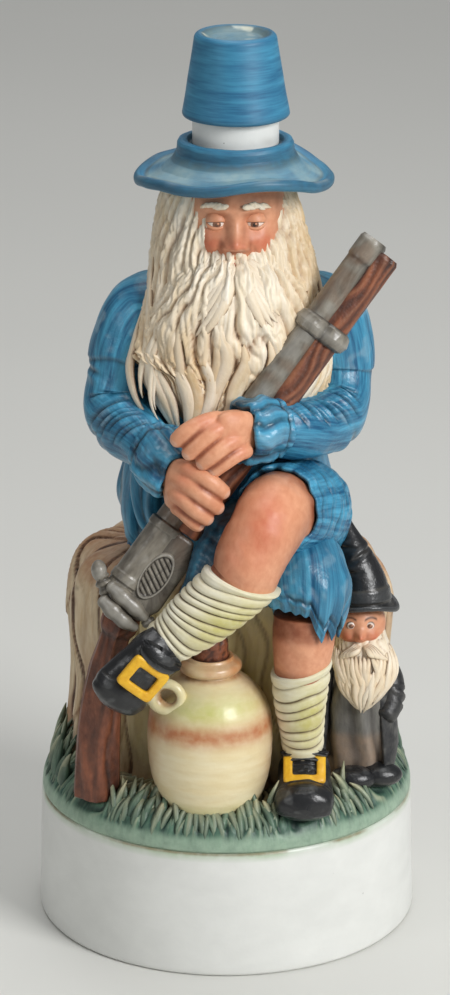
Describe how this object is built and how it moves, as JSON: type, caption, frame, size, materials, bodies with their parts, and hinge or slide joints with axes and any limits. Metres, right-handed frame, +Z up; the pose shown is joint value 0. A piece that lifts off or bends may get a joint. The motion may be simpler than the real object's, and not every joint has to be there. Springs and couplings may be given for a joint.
{
  "type": "figural liquor decanter",
  "caption": "Painted ceramic decanter shaped as a bearded old woodsman with a long gun, seated on a tree stump over a white drum; the hat crown lifts out as the stopper.",
  "frame": {"origin": "centre of the drum's foot, on the surface that it stands on", "axes": "+Z up, the figure faces -Y, +X to a viewer's right"},
  "size_m": [0.1074, 0.1129, 0.254],
  "materials": {
    "white_bisque": "matt unglazed white",
    "grass_green": "matt painted green",
    "bark_tan": "matt painted with brown wash",
    "coat_blue": "satin painted blue with brush streaks",
    "flesh": "matt painted flesh",
    "hair_white": "matt off-white with tan wash",
    "stocking_cream": "matt cream with brown wash",
    "shoe_black": "satin painted black",
    "buckle_yellow": "satin painted yellow",
    "gun_grey": "satin painted pewter grey",
    "gun_brown": "satin painted red-brown",
    "jug_cream": "satin cream with yellow-green airbrush",
    "cork_brown": "matt painted brown",
    "gnome_grey": "matt painted grey-brown",
    "real_cork": "natural cork"
  },
  "bodies": {
    "decanter": {"base_drum": "white_bisque", "pour_neck": "white_bisque", "grass_mound": "grass_green", "tree_stump": "bark_tan", "coat_torso": "coat_blue", "coat_tail": "coat_blue", "right_sleeve": "coat_blue", "left_sleeve": "coat_blue", "right_cuff": "coat_blue", "left_cuff": "coat_blue", "left_breeches": "coat_blue", "right_breeches": "coat_blue", "hat_brim": "coat_blue", "head": "flesh", "left_hand": "flesh", "right_hand": "flesh", "left_knee": "flesh", "right_shin": "flesh", "gnome_head": "flesh", "hair": "hair_white", "beard": "hair_white", "gnome_beard": "hair_white", "left_stocking": "stocking_cream", "right_stocking": "stocking_cream", "left_shoe": "shoe_black", "right_shoe": "shoe_black", "gnome_shoes": "shoe_black", "gnome_hat": "shoe_black", "left_buckle": "buckle_yellow", "right_buckle": "buckle_yellow", "gun_barrel": "gun_grey", "gun_band": "gun_grey", "gun_lock": "gun_grey", "gun_lock_plate": "gun_grey", "gun_hammer": "gun_grey", "gun_trigger_guard": "gun_grey", "gun_forestock": "gun_brown", "gun_butt": "gun_brown", "jug_body": "jug_cream", "jug_handle": "jug_cream", "jug_cork": "cork_brown", "gnome_coat": "gnome_grey"},
    "stopper": {"hat_crown": "coat_blue", "stopper_cork": "real_cork"}
  },
  "joints": [
    {"name": "stopper_lift", "type": "slide", "parent": "decanter", "child": "stopper", "axis": [0, 0, 1], "range_m": [0, 0.045]}
  ]
}
